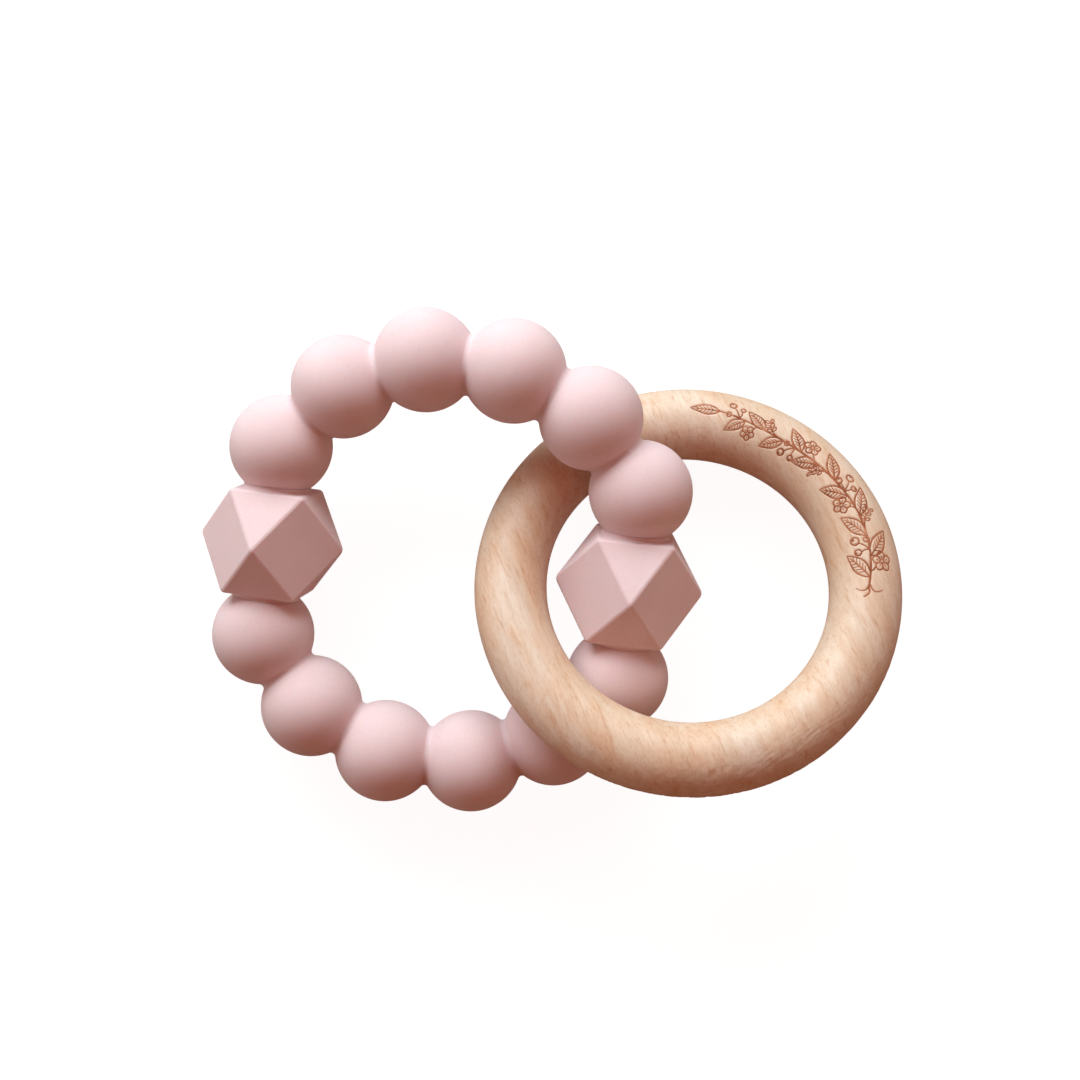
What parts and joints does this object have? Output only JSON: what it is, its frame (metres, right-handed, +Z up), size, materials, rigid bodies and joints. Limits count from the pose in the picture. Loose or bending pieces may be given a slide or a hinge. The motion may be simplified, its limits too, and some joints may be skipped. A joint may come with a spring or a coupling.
{
  "type": "teething ring",
  "caption": "Teething ring: a loop of soft silicone beads, round with two faceted ones, linked with a smooth turned wooden ring that swings on it.",
  "frame": {"origin": "centre of the bounding box's bottom face, on the table that the object lies on", "axes": "+X along the object from the bead loop towards the wooden ring, +Z up from the table"},
  "size_m": [0.1038, 0.0746, 0.0289],
  "materials": {
    "silicone": "matte dusty pink silicone",
    "beech": "sanded and lightly oiled pale beech",
    "burnt_line": "thin burnt line in the wood",
    "cord": "braided cord"
  },
  "bodies": {
    "bead_loop": {"round_bead_01": "silicone", "round_bead_02": "silicone", "round_bead_03": "silicone", "round_bead_04": "silicone", "round_bead_05": "silicone", "round_bead_06": "silicone", "round_bead_07": "silicone", "round_bead_08": "silicone", "round_bead_09": "silicone", "round_bead_10": "silicone", "round_bead_11": "silicone", "round_bead_12": "silicone", "threading_cord": "cord", "cord_knot": "cord"},
    "faceted_bead_right": {"faceted_bead_right": "silicone"},
    "faceted_bead_left": {"faceted_bead_left": "silicone"},
    "wooden_ring": {"wooden_ring": "beech"}
  },
  "joints": [
    {"name": "ring_swing", "type": "hinge", "parent": "bead_loop", "child": "wooden_ring", "pos_m": [0.0057, 0.0144, 0.0073], "axis": [-0.7188, -0.6689, 0.1897], "range_deg": [0, 120]},
    {"name": "right_bead_turn", "type": "hinge", "parent": "bead_loop", "child": "faceted_bead_right", "pos_m": [0.01191, -0.00318, 0.01358], "axis": [0.1096, 0.9663, 0.2331], "continuous": true},
    {"name": "left_bead_turn", "type": "hinge", "parent": "bead_loop", "child": "faceted_bead_left", "pos_m": [-0.04116, 0.00351, 0.01078], "axis": [-0.1159, -0.9817, -0.1513], "continuous": true}
  ]
}
